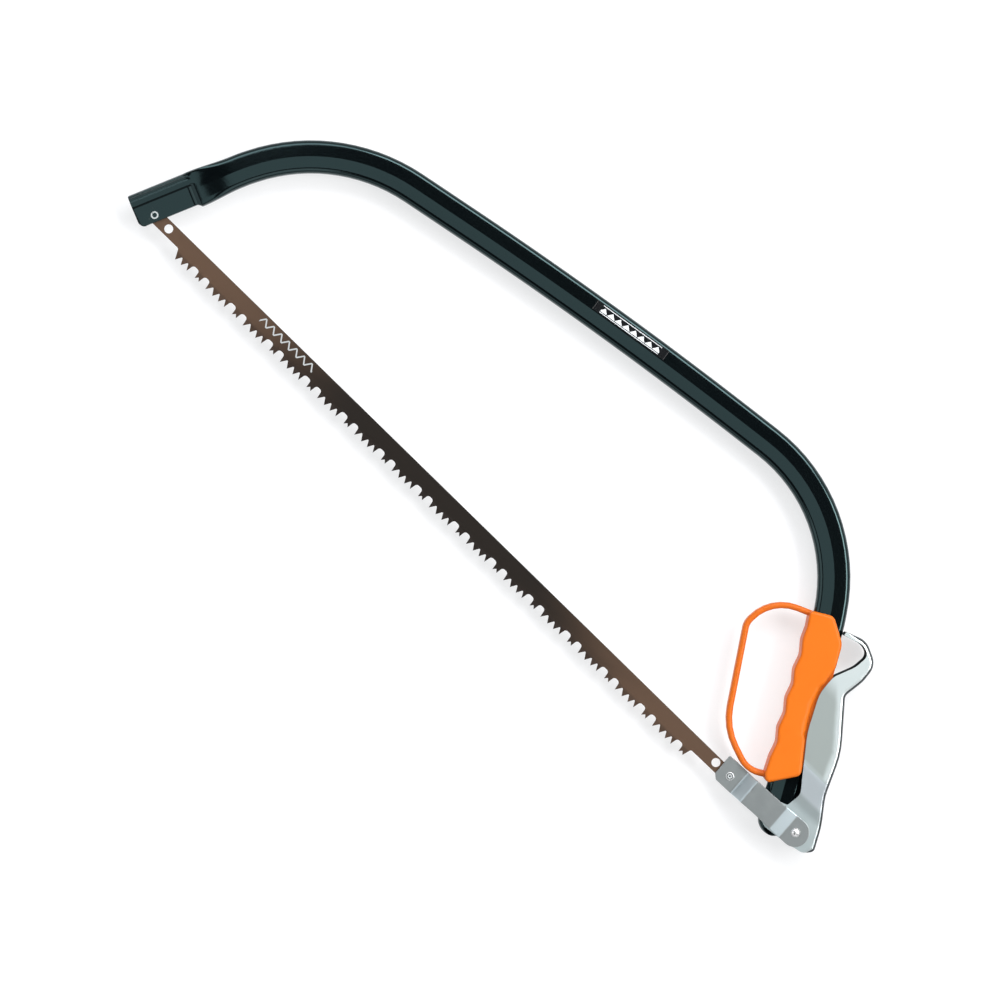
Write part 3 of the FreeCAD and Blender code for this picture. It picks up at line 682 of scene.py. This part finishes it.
cheeks = []
for side in (1, -1):
    cheek = flat_face(rounded(LINK_PLAN))
    alone(cheek)
    bpy.ops.object.mode_set(mode="EDIT")
    for middle, _ in LINK_STEPS[1:-1]:
        for k in range(-4, 5):
            bpy.ops.mesh.select_all(action="SELECT")
            bpy.ops.mesh.bisect(plane_co=(middle + 0.5 * k, 0, 0), plane_no=(1, 0, 0))
    if side < 0:
        bpy.ops.mesh.select_all(action="SELECT")
        bpy.ops.mesh.flip_normals()
    bpy.ops.object.mode_set(mode="OBJECT")
    for vertex in cheek.data.vertices:
        vertex.co.z = side * link_height(vertex.co.x)
    thick = cheek.modifiers.new("sheet", "SOLIDIFY")
    thick.thickness = SHEET
    thick.offset = -1
    rim = cheek.modifiers.new("rim", "BEVEL")
    rim.width = LINK_RIM
    rim.segments = 2
    rim.angle_limit = math.radians(50)
    bpy.ops.object.modifier_apply(modifier="sheet")
    bpy.ops.object.modifier_apply(modifier="rim")
    cheeks.append(cheek)

fold = block((-9.6, 10.2, -1.3), (-1.4, 11.8, 1.3))
alone(fold)
bpy.ops.object.mode_set(mode="EDIT")
pick("EDGE", lambda edge: edge.calc_length() > 4)
bpy.ops.mesh.bevel(offset=0.6, segments=3, affect="EDGES")
bpy.ops.object.mode_set(mode="OBJECT")

for part in cheeks + [fold]:
    part.data.transform(Matrix.Translation(REAR_PIN) @ Matrix.Rotation(LINK_TILT, 4, "Z"))
alone(cheeks[0])
for part in cheeks + [fold]:
    part.select_set(True)
bpy.ops.object.join()
link = bpy.context.object

satin, place = new_finish("satin_zinc", Metallic=1.0)
x, y, z = place.drawn()
along = (x - REAR_PIN.x) * math.cos(LINK_TILT) + y * math.sin(LINK_TILT)
# the stretches where each cheek steps out and in again are painted pale blue: painted highlights on
# the sloped bends
painted_step_highlights = along.within(8, 9) * along.within(18.4, 17.4)
painted_step_highlights = painted_step_highlights + along.within(46.5, 48) * along.within(58, 56.5)
cloud = place.noise(80, 4.0)
drawn_grain = place.noise(1500, 3.0, (0.1, 1, 1), -0.06)
tone = cloud.blend((0.30, 0.32, 0.32, 1), (0.40, 0.42, 0.42, 1))
feed(satin,
     Base_Color=(0.85 * painted_step_highlights).blend(tone, (0.66, 0.76, 0.80, 1)),
     Roughness=0.32 + 0.14 * drawn_grain,
     Normal=place.bump(drawn_grain, 0.14, 0.0001))
placed(link, "tension_link_pressed", "link", satin, 35)
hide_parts("tension_link")


# ---------------------------------------------------------------- grip
# Two halves moulded in orange plastic, screwed together over the rear leg of the bow: a
# handle with finger waves, a thin bar round in front of the knuckles, and a step at the
# back that leaves room for the lever. A fine parting line runs round between them.
HANDLE_HALF = 14.5
TONGUE_HALF = 9.9
HANDLE_EDGE = 2.4
STEP_EDGE = 4.4
SEAM = 0.08
# the guard's run from the crown of the handle round to its foot, and its section
GUARD_LINE = [(576.0, 135.4, 0), (535.0, 118.0, 32), (535.0, 91.6, 12), (579.2, 24.2, 48),
              (613.0, 12.6, 20), (633.0, 25.0, 0)]
GUARD_SECTION = [(-2.35, -6.8, 2.3), (2.35, -6.8, 2.3), (2.35, 6.8, 2.3), (-2.35, 6.8, 2.3)]
STEP_LINE = [(606.2, 114.0, 6), (608.6, 96.0, 30), (614.0, 80.5, 40), (624.5, 62.5, 60),
             (644.2, 37.8, 5)]
WAVE = 1.1
WAVE_PITCH = 11.4
WAVE_COUNT = 9
WAVE_ROUND = 11
WAVE_START = 108.5
FRONT_COVER = 2.9
REAR_COVER = 1.2
LEG_ANGLE = math.atan2(134.5, 74.8)


def leg_point(out, down, radius):
    """A corner beside the rear leg: out from its axis and down it from the bend."""
    a = LEG_ANGLE
    return (LEG_BEND.x + out * math.sin(a) + down * math.cos(a),
            LEG_BEND.y + out * math.cos(a) - down * math.sin(a), radius)


waves = []
for i in range(WAVE_COUNT):
    out = -TUBE_HALF - FRONT_COVER + (WAVE if i % 2 else -WAVE)
    waves.append(leg_point(out, WAVE_START - i * WAVE_PITCH, WAVE_ROUND))
front = [(628.8, 15.2, 3), (623.4, 20.0, 3)] + waves + [leg_point(-TUBE_HALF - 3.0, 7.0, 3)]
crown = [(562.0, 131.6, 3.2), (578.0, 141.0, 6.5), leg_point(TUBE_HALF + REAR_COVER, 13, 12)]
handle_line = rounded(list(reversed(front + crown + STEP_LINE)))
step_line = rounded(STEP_LINE)
handle = prism(handle_line, -HANDLE_HALF, HANDLE_HALF)
pick("EDGE", lambda edge: abs(edge.verts[0].co.z - edge.verts[1].co.z) < 0.01
     and all(near(step_line, vert.co, 0.01) and vert.co.y > 40 for vert in edge.verts))
bpy.ops.mesh.bevel(offset=STEP_EDGE, segments=3, affect="EDGES", clamp_overlap=False)
pick("EDGE", lambda edge: all(abs(abs(vert.co.z) - HANDLE_HALF) < 0.01 for vert in edge.verts)
     and edge.calc_face_angle(0) > 1.2)
bpy.ops.mesh.bevel(offset=HANDLE_EDGE, segments=4, affect="EDGES", clamp_overlap=False)
bpy.ops.object.mode_set(mode="OBJECT")
for face in handle.data.polygons:
    if abs(face.normal.z) > 0.98 and face.area > 900:
        for index in face.vertices:
            handle.data.vertices[index].co.z = math.copysign(HANDLE_HALF, face.normal.z)

tongue_line = [leg_point(TUBE_HALF + 1.0, 24, 6), leg_point(TUBE_HALF + REAR_COVER, 104, 1),
               (639.4, 45.6, 1), (643.6, 38.2, 1.5), (628.0, 30.0, 2), leg_point(0, 24, 2)]
tongue = prism(rounded(list(reversed(tongue_line))), -TONGUE_HALF, TONGUE_HALF)
bpy.ops.object.mode_set(mode="OBJECT")
cut(handle, tongue, "UNION")
guard = swept(rounded(GUARD_LINE, closed=False), rounded(GUARD_SECTION))
cut(handle, guard, "UNION")
halves = []
for side in (1, -1):
    half = handle.copy()
    half.data = handle.data.copy()
    bpy.context.scene.collection.objects.link(half)
    alone(half)
    bpy.ops.object.mode_set(mode="EDIT")
    bpy.ops.mesh.select_all(action="SELECT")
    bpy.ops.mesh.remove_doubles(threshold=0.02)
    bpy.ops.mesh.bisect(plane_co=(0, 0, side * SEAM), plane_no=(0, 0, side), use_fill=True,
                        clear_inner=True)
    ruled((535, 12), (645, 142), 7.3)
    bpy.ops.object.mode_set(mode="OBJECT")
    halves.append(half)
bpy.data.objects.remove(handle)

moulded, place = new_finish("moulded_orange", Specular_IOR_Level=0.3)
x, y, z = place.drawn()
spark = place.noise(2400, 2.0)
mottle = place.noise(28, 3.0)
rubbed = place.noise(300, 5.0).within(0.60, 0.75)
# the rounded sides below each flat face are painted darker orange: painted shade on the sides turned
# away from the lights
painted_side_shade = abs(z).within(13.6, 12.2)
flow = mottle.blend((0.73, 0.148, 0.001, 1), (0.79, 0.166, 0.002, 1))
feed(moulded,
     Base_Color=(0.6 * painted_side_shade).blend(flow, (0.62, 0.12, 0.006, 1)),
     Roughness=0.38 + 0.08 * mottle + 0.10 * rubbed,
     Normal=place.bump(spark, 0.22, 0.0002))
for half, name in zip(halves, ("near", "far")):
    placed(half, "grip_" + name + "_shell", "frame", moulded, 35)
    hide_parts("grip_" + name + "_half")


# ---------------------------------------------------------------- pins, rivets and screws
# The blade hangs on a rolled spring pin at the toe and a tubular rivet at the link. Two
# domed rivets carry the lever, and two cross-head screws hold the grip. All are steel.
LINK_PIVOT = Vector((671.3, 4.3, 0))


def coated(name, finish):
    """Gives a CAD node its finish."""
    nodes[name].data.materials.clear()
    nodes[name].data.materials.append(finish)


bright, place = new_finish("bright_steel", Metallic=1.0)
x, y, z = place.drawn()
turned = place.noise(1200, 3.0)
from_rear = x.away(y, REAR_PIN.x, REAR_PIN.y)
from_link = x.away(y, LINK_PIVOT.x, LINK_PIVOT.y)
# dark rings round the tubular rivet and the link rivet, and a dark dot in the tubular rivet's middle:
# painted shade in the gaps round the heads and in the bore
painted_rivet_shade = from_rear.within(1.7, 1.9) * from_rear.within(2.6, 2.3) + from_rear.within(0.8, 0.6)
painted_rivet_shade = painted_rivet_shade + 0.5 * from_link.within(1.1, 1.3) * from_link.within(1.9, 1.6)
steel = turned.blend((0.86, 0.87, 0.87, 1), (0.94, 0.94, 0.93, 1))
feed(bright,
     Base_Color=(0.93 * painted_rivet_shade).blend(steel, (0.03, 0.03, 0.032, 1)),
     Roughness=0.20 + 0.14 * turned)
for name in ("front_blade_pin", "rear_blade_pin", "link_rivet", "lever_pivot_rivet",
             "lever_pivot_sleeve", "link_spacer", "grip_screws"):
    coated(name, bright)


# ---------------------------------------------------------------- studio
# A pale sheet under the saw that glows faintly, a round panel far overhead that the flat
# faces mirror, and large soft lights around it that only the rounded edges catch.
FRAME_WIDTH = 0.755
CAMERA_TURN = math.radians(44.365)
CAMERA_LENS = 150.0
SENSOR = 36.0
VIEW_MIDDLE = (0.0033, -0.0720, 0.0145)
FLOOR_SIZE = 60
FLOOR_GAP = 0.0002
SOFT_TILT = 42
SOFT_AWAY = 4.0

bpy.ops.mesh.primitive_plane_add(size=FLOOR_SIZE, location=(0, 0, cad_low.z - FLOOR_GAP))
floor = bpy.context.object
floor.name = "floor"
paper, place = new_finish("white_paper", Roughness=0.75, Emission_Strength=0.66)
paper_tone = place.noise(3, 2.0)
feed(paper,
     Base_Color=paper_tone.blend((0.34, 0.34, 0.345, 1), (0.36, 0.36, 0.365, 1)),
     Emission_Color=paper_tone.blend((0.98, 0.99, 1, 1), (1, 1, 1, 1)))
floor.data.materials.append(paper)


def soft_light(name, bearing, tilt, away, wide, deep, strength, tint):
    """A flat soft light seen from the saw at a bearing in the picture and a tilt off plumb."""
    lamp = bpy.data.lights.new(name, "AREA")
    lamp.shape = "RECTANGLE" if tilt else "ELLIPSE"
    lamp.size = wide
    lamp.size_y = deep
    lamp.energy = strength * math.pi * wide * deep * (1 if tilt else math.pi / 4)
    lamp.color = tint
    holder = bpy.data.objects.new(name, lamp)
    a = math.radians(bearing) + CAMERA_TURN
    t = math.radians(tilt)
    ray = Vector((math.sin(t) * math.cos(a), math.sin(t) * math.sin(a), math.cos(t)))
    holder.location = ray * away
    holder.rotation_euler = ray.to_track_quat("Z", "Y").to_euler()
    bpy.context.scene.collection.objects.link(holder)


soft_light("overhead", 0, 0, 9.0, 4.2, 4.2, 1.1, (0.90, 0.98, 1.0))
soft_light("right", 0, SOFT_TILT, SOFT_AWAY, 2.2, 1.2, 10.0, (1.0, 1.0, 1.0))
soft_light("upper_right", 54, SOFT_TILT, SOFT_AWAY, 2.6, 1.5, 7.5, (0.97, 0.97, 1.0))
soft_light("top", 104, SOFT_TILT, SOFT_AWAY, 2.2, 1.6, 4.0, (0.94, 0.97, 1.0))
soft_light("left", 185, SOFT_TILT, SOFT_AWAY, 2.2, 2.2, 1.2, (1.0, 1.0, 1.0))
soft_light("bottom", 275, SOFT_TILT, SOFT_AWAY, 2.2, 2.2, 1.2, (1.0, 1.0, 1.0))

world = bpy.data.worlds.new("studio")
bpy.context.scene.world = world
world.use_nodes = True
sky = Wire(world.node_tree, None)
ray = sky.node("TexCoord", {}, {}, "Generated")
height = sky.node("SeparateXYZ", {}, {"Vector": ray}, "Z")
pale = height.within(0.75, 0.45) * height.within(0.0, 0.35)
shade = pale.blend((0.002, 0.002, 0.002, 1), (0.80, 0.82, 0.84, 1))
world.node_tree.links.new(shade.socket, world.node_tree.nodes["Background"].inputs["Color"])

camera = bpy.data.objects.new("camera", bpy.data.cameras.new("camera"))
camera.data.lens = CAMERA_LENS
camera.data.sensor_width = SENSOR
camera_high = FRAME_WIDTH * CAMERA_LENS / SENSOR + VIEW_MIDDLE[2]
camera.location = (VIEW_MIDDLE[0], VIEW_MIDDLE[1], camera_high)
camera.rotation_euler = (0, 0, CAMERA_TURN)
camera.data.clip_end = 100
bpy.context.scene.collection.objects.link(camera)
bpy.context.scene.camera = camera
bpy.context.scene.view_settings.view_transform = "Standard"
